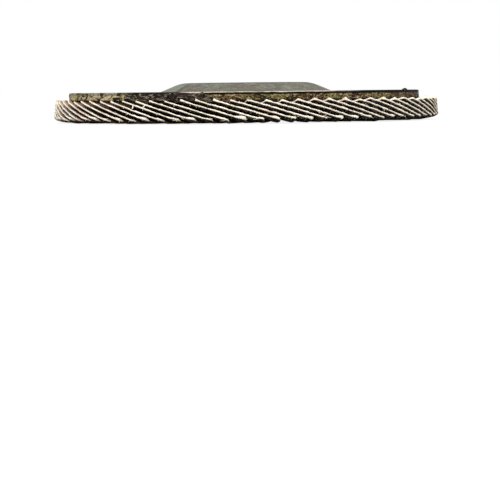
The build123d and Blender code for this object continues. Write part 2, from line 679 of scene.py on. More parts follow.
@dataclass(frozen=True)
class CuredResin(Finish):
    """Phenolic glue squeezed out and cured: lumpy, nearly black, with dust stuck to it."""

    name: str = "cured_resin"
    dark: str = "#0b0806"
    brown: str = "#2c2118"
    plum: str = "#3a2f31"
    # Colour of the painted sheen streaks.
    grey: str = "#857d6b"
    dust: str = "#cfc6bd"
    lump: float = 0.9
    patch: float = 2.8
    sheen_streak: float = 3.0
    dust_spacing: float = 1.6

    def sockets(self, tree: bpy.types.NodeTree) -> dict[str, Any]:
        """Brown-black with plum patches, grey streaks of painted sheen, small lumps and a few pale specks.

        Args:
            tree: the material's node tree.

        Returns:
            What the shader's sockets take.
        """
        place = add_node(tree, "ShaderNodeTexCoord").outputs["Object"]
        patch = add_node(
            tree, "ShaderNodeTexNoise", {"Vector": place, "Scale": grain(self.patch), "Detail": 2.0}
        )
        lumps = add_node(
            tree,
            "ShaderNodeTexNoise",
            {
                "Vector": place, "Scale": grain(self.lump), "Detail": 3.0, "Roughness": 0.65,
                "Distortion": 0.8,
            },
        )
        stops = {0.44: self.dark, 0.54: self.brown, 0.66: self.plum}
        colour = add_node(tree, "ShaderNodeValToRGB", {"Fac": lumps}, stops=stops)
        colour = self.coat(tree, colour, self.plum, (patch, 0.54, 0.7), most=0.6)
        # Grey streaks drawn out sideways: a painted sheen.
        flattened = add_node(
            tree,
            "ShaderNodeMapping",
            {"Vector": place, "Location": (0.013, 0, 0.004), "Scale": (1, 1, 3.5)},
        )
        sheen_streaks = add_node(
            tree,
            "ShaderNodeTexNoise",
            {
                "Vector": flattened, "Scale": grain(self.sheen_streak), "Detail": 3.0, "Roughness": 0.65,
                "Distortion": 1.0,
            },
        )
        colour = self.coat(tree, colour, self.grey, (sheen_streaks, 0.54, 0.6), most=0.85)
        specks = add_node(
            tree, "ShaderNodeTexVoronoi", {"Vector": place, "Scale": grain(self.dust_spacing)}
        ).outputs["Distance"]
        colour = self.coat(tree, colour, self.dust, (specks, 0.13, 0.09))
        relief = add_node(
            tree, "ShaderNodeBump", {"Height": lumps, "Strength": 0.9, "Distance": 0.4 * MM}
        )
        return {
            "Base Color": colour, "Normal": relief, "Roughness": 0.55, "Specular IOR Level": 0.1
        }


@dataclass(frozen=True)
class CutClothEdge(Finish):
    """Cut edge of polyester and cotton cloth: near-white yarn ends, fuzzy and matt.

    The eye gets a bright line that is beaded by the yarns and broken here and there by resin.
    """

    name: str = "cut_cloth_edge"
    cream: str = "#fff8ea"
    shade: str = "#ecdcc0"
    blush: str = "#f3dccb"
    soaked: str = "#8b7452"
    stain: str = "#43321f"
    yarn: float = 0.7
    fuzz: float = 0.6
    tint_patch: float = 6.0
    soaked_to: float = 0.42

    def sockets(self, tree: bpy.types.NodeTree) -> dict[str, Any]:
        """Yarn ends along the cut, on the flap's own flat millimetre coordinates.

        Near the grain the cloth is soaked with brown resin, up to the level soaked_to. The real
        yarns are 0.4 mm apart, and are drawn 0.7 mm apart so that they show.

        Args:
            tree: the material's node tree.

        Returns:
            What the shader's sockets take.
        """
        flat = add_node(tree, "ShaderNodeAttribute", attribute_name="cloth_mm").outputs["Vector"]
        place = add_node(tree, "ShaderNodeTexCoord").outputs["Object"]
        yarns = add_node(
            tree,
            "ShaderNodeTexWave",
            {"Vector": flat, "Scale": bands(self.yarn), "Distortion": 5.0, "Detail": 2.0},
            bands_direction="X",
        ).outputs["Fac"]
        tint = add_node(
            tree, "ShaderNodeTexNoise", {"Vector": place, "Scale": grain(self.tint_patch)}
        )
        fuzz = add_node(
            tree,
            "ShaderNodeTexNoise",
            {"Vector": flat, "Scale": 1.0 / self.fuzz, "Detail": 3.0, "Roughness": 0.7},
        )
        colour = self.coat(tree, self.shade, self.cream, (yarns, 0.0, 0.3))
        colour = self.coat(tree, colour, self.blush, (tint, 0.6, 0.72))
        level = add_node(tree, "ShaderNodeSeparateXYZ", {"Vector": flat}).outputs["Z"]
        level = add_node(
            tree, "ShaderNodeMath", {0: fuzz, 1: -0.3, 2: level}, operation="MULTIPLY_ADD"
        )
        dry, wet = self.soaked_to - 0.12, self.soaked_to - 0.22
        colour = self.coat(tree, colour, self.soaked, (level, dry, wet))
        colour = self.coat(tree, colour, self.stain, (fuzz, 0.62, 0.72))
        relief = add_node(
            tree, "ShaderNodeBump", {"Height": yarns, "Strength": 0.6, "Distance": 0.12 * MM}
        )
        relief = add_node(
            tree,
            "ShaderNodeBump",
            {"Height": fuzz, "Strength": 0.5, "Distance": 0.1 * MM, "Normal": relief},
        )
        return {
            "Base Color": colour, "Normal": relief, "Roughness": 0.95, "Specular IOR Level": 0.2
        }


@dataclass(frozen=True)
class SizedClothBack(Finish):
    """Back of the abrasive cloth, sized with brown resin: a dull reddish twill."""

    name: str = "sized_cloth_back"
    brown: str = "#624937"
    deep: str = "#3d2c21"
    worn: str = "#8e745c"
    # Pale colour at the rim: partly frayed fluff, partly painted light from behind the flaps.
    fluff: str = "#d9c0a4"
    rib: float = 0.8
    wear: float = 3.0
    fluff_and_backlight_patch: float = 1.1

    def sockets(self, tree: bpy.types.NodeTree) -> dict[str, Any]:
        """Twill ribs at 45 degrees on the flap's flat millimetre coordinates, pale at the rim: partly
        frayed fluff, partly painted light coming through the gaps from behind.

        The real ribs are 0.4 mm apart, and are drawn twice as coarse so that they show.

        Args:
            tree: the material's node tree.

        Returns:
            What the shader's sockets take.
        """
        flat = add_node(tree, "ShaderNodeAttribute", attribute_name="cloth_mm").outputs["Vector"]
        ribs = add_node(
            tree,
            "ShaderNodeTexWave",
            {"Vector": flat, "Scale": bands(self.rib), "Distortion": 1.2, "Detail": 2.0},
            bands_direction="DIAGONAL",
        ).outputs["Fac"]
        cloud = add_node(
            tree, "ShaderNodeTexNoise", {"Vector": flat, "Scale": 1.0 / self.wear, "Detail": 5.0}
        )
        colour = self.coat(tree, self.deep, self.brown, (ribs, 0.0, 1.0))
        colour = self.coat(tree, colour, self.worn, (cloud, 0.5, 0.75))
        # Paler band near the rim: partly frayed fluff, partly painted light coming through the gaps.
        from_rim = add_node(tree, "ShaderNodeAttribute", attribute_name="from_rim").outputs["Fac"]
        patchy = add_node(
            tree,
            "ShaderNodeTexNoise",
            {"Vector": flat, "Scale": 1.0 / self.fluff_and_backlight_patch, "Detail": 3.0},
        )
        reach = add_node(
            tree, "ShaderNodeMath", {0: patchy, 1: -3.2, 2: from_rim}, operation="MULTIPLY_ADD"
        )
        relief = add_node(
            tree, "ShaderNodeBump", {"Height": ribs, "Strength": 0.5, "Distance": 0.1 * MM}
        )
        return {
            "Base Color": self.coat(tree, colour, self.fluff, (reach, -0.1, -1.5)),
            "Normal": relief, "Roughness": 0.85, "Specular IOR Level": 0.2,
        }


@dataclass(frozen=True)
class AbrasiveGrain(Finish):
    """Fused alumina grains held in dark resin: rough, brown-black, with grey-green glints painted as pale
    grains.
    """

    name: str = "abrasive_grain"
    bond: str = "#060504"
    grey: str = "#2f322b"
    brown: str = "#20170f"
    # Colour of the painted glints and highlights.
    painted_glint: str = "#85867a"
    size: float = 0.42

    def sockets(self, tree: bpy.types.NodeTree) -> dict[str, Any]:
        """Each cell of the pattern is one grain.

        Real grains of this grit are 0.27 mm, and are drawn as 0.42 mm so that they show.

        Args:
            tree: the material's node tree.

        Returns:
            What the shader's sockets take.
        """
        place = add_node(tree, "ShaderNodeTexCoord").outputs["Object"]
        flat = add_node(tree, "ShaderNodeAttribute", attribute_name="cloth_mm").outputs["Vector"]
        cells = add_node(
            tree, "ShaderNodeTexVoronoi", {"Vector": place, "Scale": grain(self.size)}
        ).outputs
        kind = add_node(tree, "ShaderNodeSeparateColor", {"Color": cells["Color"]}).outputs
        drawn_out = add_node(
            tree, "ShaderNodeMapping", {"Vector": flat, "Scale": (2.2, 0.3, 0.4)}
        )
        striation_highlights = add_node(tree, "ShaderNodeTexNoise", {"Vector": drawn_out, "Scale": 1.0})
        colour = add_node(
            tree, "ShaderNodeMix", {0: kind["Red"], 6: self.brown, 7: self.grey}, data_type="RGBA"
        )
        colour = self.coat(tree, colour, self.bond, (cells["Distance"], 0.25, 0.6))
        # Painted glints: a few grains at random are pale; drawn-out grey-green striations carry painted
        # highlights.
        colour = self.coat(tree, colour, self.painted_glint, (kind["Green"], 0.9, 0.98))
        colour = self.coat(tree, colour, self.painted_glint, (striation_highlights, 0.55, 0.7), most=0.6)
        relief = add_node(
            tree,
            "ShaderNodeBump",
            {"Height": cells["Distance"], "Strength": 0.9, "Distance": 0.2 * MM},
            invert=True,
        )
        roughness = add_node(
            tree, "ShaderNodeMapRange", {"Value": kind["Blue"], "To Min": 0.4, "To Max": 0.85}
        )
        return {
            "Base Color": colour, "Roughness": roughness, "Normal": relief,
            "Specular IOR Level": 0.04,
        }


def make_piece(name: str, shell: Shell, finishes: list[Finish]) -> bpy.types.Object:
    """Make a Blender object from a shell and set it on the disc.

    Args:
        name: the piece's name.
        shell: its surface.
        finishes: one finish for each number in the shell's slots.

    Returns:
        The object, at the origin, riding on the disc.
    """
    mesh = bpy.data.meshes.new(name)
    mesh.from_pydata((shell.points * MM).tolist(), [], shell.quads.tolist())
    mesh.polygons.foreach_set("material_index", shell.slots.astype(np.int32))
    mesh.polygons.foreach_set("use_smooth", np.ones(len(shell.quads), dtype=bool))
    for field_name, values in shell.fields.items():
        kind, key = ("FLOAT", "value") if values.ndim == 1 else ("FLOAT_VECTOR", "vector")
        attribute = mesh.attributes.new(field_name, kind, "POINT")
        attribute.data.foreach_set(key, values.astype(np.float32).ravel())
    for finish in finishes:
        mesh.materials.append(finish.material())
    mesh.validate()
    mesh.update()
    mesh.set_sharp_from_angle(angle=np.radians(48.0))
    piece = bpy.data.objects.new(name, mesh)
    bpy.context.scene.collection.objects.link(piece)
    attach(piece, "root")
    LOG.info("%s: %d points, %d faces", name, len(shell.points), len(shell.quads))
    return piece


# ---- backing plate and arbor ring ----


def node_span(node: str) -> tuple[float, float]:
    """Lowest and highest level of a CAD node."""
    low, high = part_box(node)
    return low.z / MM, high.z / MM


@dataclass(frozen=True)
class Stretch:
    """A stretch of the plate between two azimuths, with a soft start and a soft end."""

    start: float
    end: float
    fade_in: float
    fade_out: float

    def share(self, azimuth: np.ndarray) -> np.ndarray:
        """1 inside the stretch and 0 outside it, by a smooth step at each end."""
        return smooth((azimuth - self.start) / self.fade_in) * smooth((self.end - azimuth) / self.fade_out)


@dataclass
class BackingPlate:
    """Round plate moulded in one with its raised hub, its levels taken from the frame."""

    thickness: float = 2.4
    hub_wall: float = 3.0
    flange_thickness: float = 0.6
    radius: float = 57.0
    hole: float = 11.735
    rebate_radius: float = 14.52
    recess_floor_radius: float = 21.5
    recess_mouth_radius: float = 28.5
    hub_base_radius: float = 27.75
    hub_top_radius: float = 21.1
    corner_radii: tuple[float, ...] = (0.1, 1.5, 2.5, 0.15, 0.32, 0.8, 12.0, 0.06, 0.06, 0.06)
    corner_points: int = 7
    flat_step: float = 9.0
    hub_step: float = 4.0
    near_step: float = 0.6
    edge_step: float = 0.3
    trimmed: float = 0.3
    off_centre: float = 0.65
    pulled_in: float = 4.0
    chip_size: tuple[float, float, float] = (1.3, 1.3, 0.7)
    chip_depth: float = 0.16
    nibble_size: float = 2.2
    nibble_depth: float = 0.1
    patch_size: float = 4.0
    # Stretch of the arris that carries the painted highlight.
    arris_highlight_share: Stretch = Stretch(-111.0, -50.0, 3.0, 12.0)
    browned: Stretch = Stretch(-62.0, 0.0, 18.0, 15.0)
    left_end: Stretch = Stretch(-225.0, -124.0, 30.0, 10.0)
    # Stretch of the hub's flank that carries the painted light.
    painted_flank_light: Stretch = Stretch(-215.0, -142.5, 20.0, 2.0)
    painted_flank_light_slant: float = 5.0
    segments: int = 540
    seed: int = 11

    def __post_init__(self) -> None:
        """Take the underside and the top of the hub from the CAD plate, and the rest from them."""
        self.underside, self.hub_top = node_span("backing_plate")
        self.back = self.underside + self.thickness
        self.recess_floor = self.hub_top - self.hub_wall
        self.rebate_floor = self.hub_top - self.flange_thickness

    def outline(self) -> np.ndarray:
        """Half section from the floor of the recess outwards and over the back, corners rounded.

        Its points are close together near the edge, where noise moves them.

        Returns:
            Radius and height of each point, shaped (n, 2).
        """
        corners = np.array(
            (
                (self.hole, self.recess_floor),
                (self.recess_floor_radius, self.recess_floor),
                (self.recess_mouth_radius, self.underside),
                (self.radius, self.underside),
                (self.radius, self.back),
                (self.hub_base_radius, self.back),
                (self.hub_top_radius, self.hub_top),
                (self.rebate_radius, self.hub_top),
                (self.rebate_radius, self.rebate_floor),
                (self.hole, self.rebate_floor),
            )
        )
        rounded = round_corners(corners, np.array(self.corner_radii), self.corner_points)
        beyond = np.maximum(rounded[:, 0], np.roll(rounded[:, 0], -1))
        middle = (rounded[:, 0] + np.roll(rounded[:, 0], -1)) / 2
        longest = np.where(beyond > 50, self.flat_step, self.hub_step)
        runs = fill_runs(rounded, np.where(middle > self.radius - 1.0, self.edge_step, longest))
        near = np.maximum(runs[:, 0], np.roll(runs[:, 0], -1)) > self.radius - self.pulled_in
        return fill_runs(runs, np.where(near, self.near_step, self.flat_step))

    def sawn_radius(self, azimuth: np.ndarray) -> np.ndarray:
        """Radius of the sawn edge, a circle set off centre: it changes with the cosine."""
        return self.radius - self.trimmed - self.off_centre * np.cos(azimuth)

    def shell(self) -> Shell:
        """Carry the outline round the axis, with the sawn edge a little ragged.

        Points near the edge are pulled in to the sawn radius, less noise over 1.3 mm cells, and
        the arris is nibbled down by noise. The fields say where the sawn edge is, which part of it
        is the left end, where the arris carries a painted highlight and where the edge is browned, and
        where the flank of the hub carries painted light (below 0 along its border of painted shade).

        Returns:
            The plate's shell.
        """
        outline = self.outline()
        azimuth = np.linspace(0, 2 * np.pi, self.segments, endpoint=False)[:, None]
        points = on_axis(outline[:, 0], outline[:, 1], azimuth)
        from_rim = self.radius - np.linalg.norm(points[..., :2], axis=-1)
        near_edge = smooth(1.0 - (from_rim - 0.1) / 0.8)
        cut = near_edge * value_noise(points / self.chip_size, self.seed) * self.chip_depth
        pull = smooth(1.0 - from_rim / self.pulled_in)
        cut = cut + pull * (self.radius - self.sawn_radius(azimuth))
        points[..., :2] *= 1.0 - (cut / self.radius)[..., None]
        upper = near_edge * smooth((points[..., 2] - self.back + 0.3) / 0.3)
        nibbled = value_noise(points / self.nibble_size, self.seed + 3)
        points[..., 2] -= upper * self.nibble_depth * nibbled
        from_axis = np.linalg.norm(points[..., :2], axis=-1)
        edge = smooth((from_axis - self.sawn_radius(azimuth) + 0.6) / 0.3)
        turn = np.degrees(azimuth) - 360.0
        # The hub flank's painted light, with a line of painted shade along its border, slanted up the hub.
        up = (points[..., 2] - self.back) / (self.hub_top - self.back)
        slanted = turn + self.painted_flank_light_slant * up
        side = smooth((turn - self.painted_flank_light.start) / self.painted_flank_light.fade_in)
        side = side * smooth((self.painted_flank_light.end - slanted) / self.painted_flank_light.fade_out)
        side -= np.exp(-(((self.painted_flank_light.end - slanted + 0.9) / 1.3) ** 2))
        flank = smooth((self.hub_top - 0.25 - points[..., 2]) / 0.3) * smooth((28.6 - from_axis) / 0.9)
        patchy = smooth(value_noise(points / self.patch_size, self.seed + 9) * 2.4 - 0.5)
        fields = {
            "edge": edge,
            "left": self.left_end.share(turn) * np.ones_like(patchy),
            "arris_highlight_share": self.arris_highlight_share.share(turn) * (0.45 + 0.55 * patchy),
            "browned": self.browned.share(turn) * (0.1 + 0.45 * patchy),
            "painted_flank_light": side * flank * smooth((points[..., 2] - self.back + 0.1) / 0.2),
        }
        carried = {name: values.ravel() for name, values in fields.items()}
        quads = turned_quads(self.segments, len(outline))
        return Shell(points.reshape(-1, 3), quads, np.zeros(len(quads)), carried)

    def build(self) -> bpy.types.Object:
        """Make the plate in place of its CAD node.

        Returns:
            The plate's object.
        """
        finish = GlassFibreLaminate(top=self.back, hub_top=self.hub_top)
        piece = make_piece("laminate_plate", self.shell(), [finish])
        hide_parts("backing_plate")
        return piece


@dataclass
class ArborRing:
    """Steel eyelet that lines the hole, its rim rolled over flush with the hub."""

    bore: float = 11.115
    outside: float = 11.715
    flange_radius: float = 14.5
    flange_thickness: float = 0.6
    corner_radii: tuple[float, ...] = (0.2, 0.2, 0.08, 0.12, 0.35, 0.55)
    corner_points: int = 6
    segments: int = 256

    def build(self) -> bpy.types.Object:
        """Carry the rounded section round the axis, in place of the CAD node.

        Returns:
            The ring's object.
        """
        bottom, top = node_span("arbor_ring")
        under = top - self.flange_thickness
        corners = np.array(
            (
                (self.bore, bottom),
                (self.outside, bottom),
                (self.outside, under),
                (self.flange_radius, under),
                (self.flange_radius, top),
                (self.bore, top),
            )
        )
        outline = round_corners(corners, np.array(self.corner_radii), self.corner_points)
        azimuth = np.linspace(0, 2 * np.pi, self.segments, endpoint=False)[:, None]
        points = on_axis(outline[:, 0], outline[:, 1], azimuth).reshape(-1, 3)
        quads = turned_quads(self.segments, len(outline))
        shell = Shell(points, quads, np.zeros(len(quads)))
        piece = make_piece("arbor_eyelet", shell, [ZincPlatedSteel()])
        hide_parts("arbor_ring")
        return piece


# ---- glue ----


@dataclass(frozen=True)
class Smear:
    """A patch of glue on the plate's edge, or a lump of it; its height is from the underside."""

    azimuth: float
    height: float
    width: float
    tall: float
    proud: float = 1.0
    lean: float = 0.0


@dataclass
class GlueBed:
    """Resin under the plate that holds the flaps, its borders ragged where it was squeezed out."""

    plate: BackingPlate
    inner: float = 38.4
    outer: float = 56.5
    depth: float = 1.45
    lap: float = 0.02
    ragged: float = 0.45
    ragged_size: float = 2.0
    loop_points: int = 28
    segments: int = 720
    seed: int = 23

    def build(self) -> bpy.types.Object:
        """Closed ring between the plate and the flaps.

        Its section is a flattened loop: the radius swings between the two borders with the cosine
        of the angle round the loop, to the power 0.5, and the lower half hangs by the sine, both
        stirred by noise over 2 mm cells.

        Returns:
            The bed's object.
        """
        loop = np.linspace(0, 2 * np.pi, self.loop_points, endpoint=False)
        azimuth = np.linspace(0, 2 * np.pi, self.segments, endpoint=False)[:, None]
        wide = np.sign(np.cos(loop)) * np.abs(np.cos(loop)) ** 0.5
        middle, half = (self.inner + self.outer) / 2, (self.outer - self.inner) / 2
        flat = on_axis(middle + half * wide, loop * 0, azimuth)
        stirred = ripple(flat / self.ragged_size, self.seed)
        radius = middle + half * wide + self.ragged * stirred * np.abs(wide) ** 6
        hang = np.clip(-np.sin(loop), 0, 1) ** 0.6
        height = self.plate.underside + self.lap - hang * self.depth * (1.0 + 0.2 * stirred)
        points = on_axis(radius, height, azimuth)
        quads = turned_quads(self.segments, len(loop))
        shell = Shell(points.reshape(-1, 3), quads, np.zeros(len(quads)))
        piece = make_piece("glue_bed", shell, [CuredResin()])
        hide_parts("adhesive_bed")
        return piece


@dataclass
class GlueSmears:
    """Glue wiped over the plate's edge: patches listed one by one at the front, scattered elsewhere."""

    plate: BackingPlate
    front: tuple[Smear, ...] = (
        Smear(-142.0, 0.2, 2.0, 0.7, 0.9),
        Smear(-133.5, 0.5, 3.2, 0.9),
        Smear(-127.5, 0.7, 3.4, 1.1, 1.2),
        Smear(-121.5, 1.0, 3.6, 2.0, 1.4),
        Smear(-116.0, 1.2, 3.6, 2.4, 1.5),
        Smear(-110.5, 1.2, 3.6, 2.4, 1.5),
        Smear(-105.5, 1.1, 3.2, 1.9, 1.4, 0.3),
        Smear(-101.0, 0.6, 2.0, 1.0, 0.95),
        Smear(-92.5, 0.2, 1.3, 0.6, 0.9),
        Smear(-84.0, 0.1, 1.6, 0.5, 0.9),
        Smear(-75.5, 0.3, 1.1, 0.6, 0.85),
        Smear(-66.0, 0.2, 1.7, 0.6, 0.9),
        Smear(-56.5, 0.3, 1.4, 0.6, 0.9),
        Smear(-47.5, 0.2, 1.9, 0.6, 0.9),
        Smear(-38.0, 0.3, 1.6, 0.6, 0.9),
        Smear(-28.0, 1.5, 1.3, 1.1, 0.95),
        Smear(-24.0, 0.6, 1.7, 0.8, 0.9),
    )
    lumps: tuple[Smear, ...] = (
        Smear(-28.0, 2.3, 1.3, 0.6, 0.3),
        Smear(-104.4, 1.75, 1.7, 0.17, 0.28, 0.36),
        Smear(-111.5, 0.9, 0.6, 0.4, 0.3),
        Smear(-122.0, 0.7, 0.7, 0.35, 0.3),
        Smear(37.0, 1.9, 0.7, 0.5, 0.3),
        Smear(118.0, 1.7, 0.8, 0.5, 0.3),
    )
    scattered: int = 44
    floor: float = 0.45
    stirring: float = 0.36
    fine_stirring: float = 0.1
    sunk: float = 0.17
    least: float = -0.15
    most: float = 0.4
    lump_stirring: float = 0.22
    lump_sunk: float = 0.35
    lump_root: float = 0.45
    segments: int = 1500
    seed: int = 31

    def shell(self) -> Shell:
        """A thin band just under the plate's edge that rises through it where there is glue.

        How proud it stands is the tallest of one bell curve for each smear, less a floor, stirred
        by noise over 1 mm cells.

        Returns:
            The band's shell.
        """
        rng = np.random.default_rng(self.seed)
        smears = list(self.front)
        for azimuth in rng.uniform(-20, 212, self.scattered):
            size = rng.uniform((0.0, 0.8, 0.5, 0.8, -0.4), (1.6, 3.0, 1.1, 1.05, 0.4))
            smears.append(Smear(azimuth, *size))
        levels = np.linspace(-0.1, self.plate.thickness - 0.3, 15)
        azimuth = np.linspace(0, 2 * np.pi, self.segments, endpoint=False)[:, None]
        glue = np.zeros((self.segments, len(levels)))
        for smear in smears:
            away = (azimuth - np.radians(smear.azimuth) + np.pi) % (2 * np.pi) - np.pi
            sideways = (away * self.plate.radius - smear.lean * (levels - smear.height) * 3) / smear.width
            up = (levels - smear.height) / smear.tall
            glue = np.maximum(glue, smear.proud * np.exp(-(sideways**2) - up**2))
        on_edge = on_axis(self.plate.radius, levels, azimuth)
        stirred = ripple(on_edge / (1.0, 1.0, 0.6), self.seed)
        fine = ripple(on_edge / 0.45, self.seed + 5)
        proud = (glue - self.floor + self.stirring * stirred + self.fine_stirring * fine) * 0.5
        sawn = self.plate.sawn_radius(azimuth)
        outer = sawn - self.sunk + np.clip(proud, self.least, self.most)
        radius = np.concatenate((outer, sawn - 0.9, sawn - 0.9), axis=1)
        height = self.plate.underside + np.concatenate((levels, levels[[-1, 0]] + (-0.02, 0.02)))
        points = on_axis(radius, height, azimuth)
        quads = turned_quads(self.segments, len(height))
        return Shell(points.reshape(-1, 3), quads, np.zeros(len(quads)))

    def lump(self, smear: Smear, number: int) -> Shell:
        """A rounded lump: a cube of points pushed out onto an ellipsoid and stirred by noise.

        Args:
            smear: where it sits and how large it is.
            number: picks another set of random numbers.

        Returns:
            The lump's shell.
        """
        counts = (9, 9, 9)
        used, quads, _, _ = box_shell(counts)
        cube = np.stack(np.meshgrid(*[np.linspace(-1, 1, n) for n in counts], indexing="ij"), -1)
        ball = cube.reshape(-1, 3)[used]
        ball /= np.linalg.norm(ball, axis=1, keepdims=True)
        ball *= 1.0 + self.lump_stirring * ripple(ball * 1.6 + number, self.seed)[:, None]
        turn = np.radians(smear.azimuth)
        radial = np.array((np.cos(turn), np.sin(turn), 0))
        around = np.array((-np.sin(turn), np.cos(turn), smear.lean))
        centre = radial * (self.plate.sawn_radius(turn) - self.lump_sunk)
        centre = centre + (0, 0, self.plate.underside + smear.height)
        points = (
            centre
            + ball[:, :1] * radial * (smear.proud + self.lump_root)
            + ball[:, 1:2] * around * smear.width
            + ball[:, 2:] * np.array((0, 0, smear.tall))
        )
        return Shell(points, quads, np.zeros(len(quads)))

    def build(self) -> bpy.types.Object:
        """Make the smears and lumps as one piece.

        Returns:
            The piece's object.
        """
        lumps = [self.lump(smear, number) for number, smear in enumerate(self.lumps)]
        shell = Shell.joined([self.shell()] + lumps)
        return make_piece("glue_smears", shell, [CuredResin(name="smeared_resin")])


# ---- flaps ----


class FlapFace(Enum):
    """Faces of a flap, in the order of their material slots."""

    GRAIN = 0
    CUT = 1
    BACK = 2
    SHADED_CUT = 3


@dataclass
class FlapRing:
    """Flaps laid like roof shingles, each running down from the glue to its free end."""

    count: int = 78
    per_piece: int = 2
    length: float = 19.8
    inner: float = 37.26
    outer: float = 61.26
    rim_radius: tuple[float, float] = (61.85, 62.33)
    reach: float = 62.34
    phase: float = -0.35
    offset: float = 2.5
    root_step: float = 0.85
    bend_radius: float = 57.0
    flare: float = 0.85
    grain_depth: tuple[float, float] = (0.26, 0.3)
    cloth_depth: tuple[float, float] = (0.5, 0.44)
    tip_run: float = 3.0
    tip_lift: tuple[float, float] = (0.05, 0.45)
    bow: float = 0.08
    unevenness: float = 0.06
    most_uneven: float = 0.12
    misplaced: float = 0.28
    most_misplaced: float = 0.6
    own_lift: tuple[float, float] = (0.2, 0.45)
    most_frayed: int = 56
    threads: int = 6
    thread_radius: tuple[float, float] = (0.045, 0.085)
    hanging: tuple[int, ...] = (4, 17, 31, 52, 53)
    hanging_radius: tuple[float, float] = (0.2, 0.26)
    lattice: tuple[int, int, int] = (17, 80, 6)
    rim_break: tuple[float, ...] = (1.25, 0.95, 0.2, 0.0, 0.0, 0.12)
    end_break: tuple[float, ...] = (0.5, 0.32, 0.08, 0.0, 0.0, 0.12)
    grain_share: tuple[float, ...] = (0.0, 0.55, 1.0, 1.0, 1.0, 1.0)
    cloth_share: tuple[float, ...] = (0.0, 0.0, 0.0, 0.3, 0.75, 1.0)
    long_wave: float = 0.07
    short_wave: float = 0.05
    corner_worn: tuple[float, float] = (0.3, 0.35)
    corner_run: tuple[float, float] = (0.8, 1.2)
    uneven_cut: float = 0.1
    fluff: float = 0.26
    fluff_reach: float = 0.5
    swollen_reach: float = 1.1
    seed: int = 5

    def __post_init__(self) -> None:
        """Settle how the flaps lean and how each differs from the next.

        The sine of the slope is the step from one flap to the next, square to them at the root,
        over the pitch there. A tip is never lifted so far that it meets the flap above it.
        """
        turn = 2 * np.pi / self.count
        pitch = self.inner * np.sin(turn) - (self.length / 2 - self.offset) * (1 - np.cos(turn))
        self.slope = np.arcsin(self.root_step / pitch)
        self.middle_height = self.length / 2 * np.sin(self.slope)
        rng = np.random.default_rng(self.seed)
        raised = rng.normal(0, self.unevenness, self.count)
        self.raised = np.clip(raised, -self.most_uneven, self.most_uneven)
        shifted = rng.normal(0, self.misplaced, self.count)
        self.shifted = np.clip(shifted, -self.most_misplaced, self.most_misplaced)
        room = self.tip_lift[1] + np.roll(self.raised, -1) - self.raised
        self.lifted = np.minimum(rng.uniform(*self.own_lift, self.count), room)
        self.frayed = rng.uniform(0.0, 1.0, self.count) ** 1.5
        self.frayed[self.most_frayed] = 1.4
        self.knotted = rng.uniform(0.1, 0.9, self.count)

    def share(self, x: np.ndarray) -> np.ndarray:
        """How far out a point is, from 0 at the inner end to 1 at the rim."""
        return np.clip((x - self.inner) / (self.outer - self.inner), 0.0, 1.15)

    def cut_line(self, s: np.ndarray, margin: float | None) -> np.ndarray:
        """How far out the rim is at a distance along the flap.

        The ring was trimmed to a cone: its radius grows evenly from the glued to the free end.

        Args:
            s: distance along the flap from its glued end.
            margin: added to the radius, or None for the farthest that anything may reach.

        Returns:
            The distance out from the axis, shaped like s.
        """
        y = self.offset + (s - self.length / 2) * np.cos(self.slope)
        low, high = self.rim_radius
        radius = self.reach if margin is None else low + (high - low) * s / self.length + margin
        return np.sqrt(radius**2 - y**2)

    def rise(self, x: np.ndarray, s: np.ndarray, index: int) -> np.ndarray:
        """Height of the grain side above the flap's sloping plane.

        The sum of the flare past the plate, which grows as the 1.25th power beyond bend_radius; the
        lift of the free end; the shallow bow along the length; and the flap's own unevenness,
        which fades to nothing at the inner end.

        Args:
            x: distance out from the axis.
            s: distance along the flap from its glued end.
            index: the flap's number.

        Returns:
            The height, shaped like x and s together.
        """
        out = self.share(x)
        past = np.clip((x - self.bend_radius) / (self.outer - self.bend_radius), 0, None)
        bent = np.clip((s - self.length + self.tip_run) / self.tip_run, 0, None) ** 1.6
        lift = (self.tip_lift[0] + (self.lifted[index] - self.tip_lift[0]) * out**2) * bent
        run = np.clip(s / (self.length - self.tip_run), 0, 1)
        bow = -self.bow * 4 * run * (1 - run) * out
        wave = self.long_wave * ripple(np.stack((s / 5.0, x / 14.0 + index * 3.7), -1), self.seed)
        short = np.stack((s / 1.3, x / 5.0 + index * 5.1), -1)
        wave += self.short_wave * ripple(short, self.seed + 8)
        return self.flare * past**1.25 + lift + bow + out**2 * (self.raised[index] + wave)

    def placed(self, x: np.ndarray, s: np.ndarray, h: np.ndarray, index: int) -> np.ndarray:
        """Carry flat flap coordinates to their place on the disc.

        The flap's plane slopes down along Y from a point over the offset, h is measured square to
        it from the grain side, and the whole is turned about the axis by the flap's step.

        Args:
            x: distance out from the axis.
            s: distance along the flap from its glued end.
            h: height above the grain side.
            index: the flap's number.

        Returns:
            Points, with one more axis than x.
        """
        tilt = self.slope
        down = s - self.length / 2
        up = h + self.rise(x, s, index)
        y = self.offset + down * np.cos(tilt) + up * np.sin(tilt)
        z = self.middle_height - down * np.sin(tilt) + up * np.cos(tilt)
        turn = 2 * np.pi * index / self.count + np.radians(self.phase)
        return np.stack((x * np.cos(turn) - y * np.sin(turn), x * np.sin(turn) + y * np.cos(turn), z), -1)

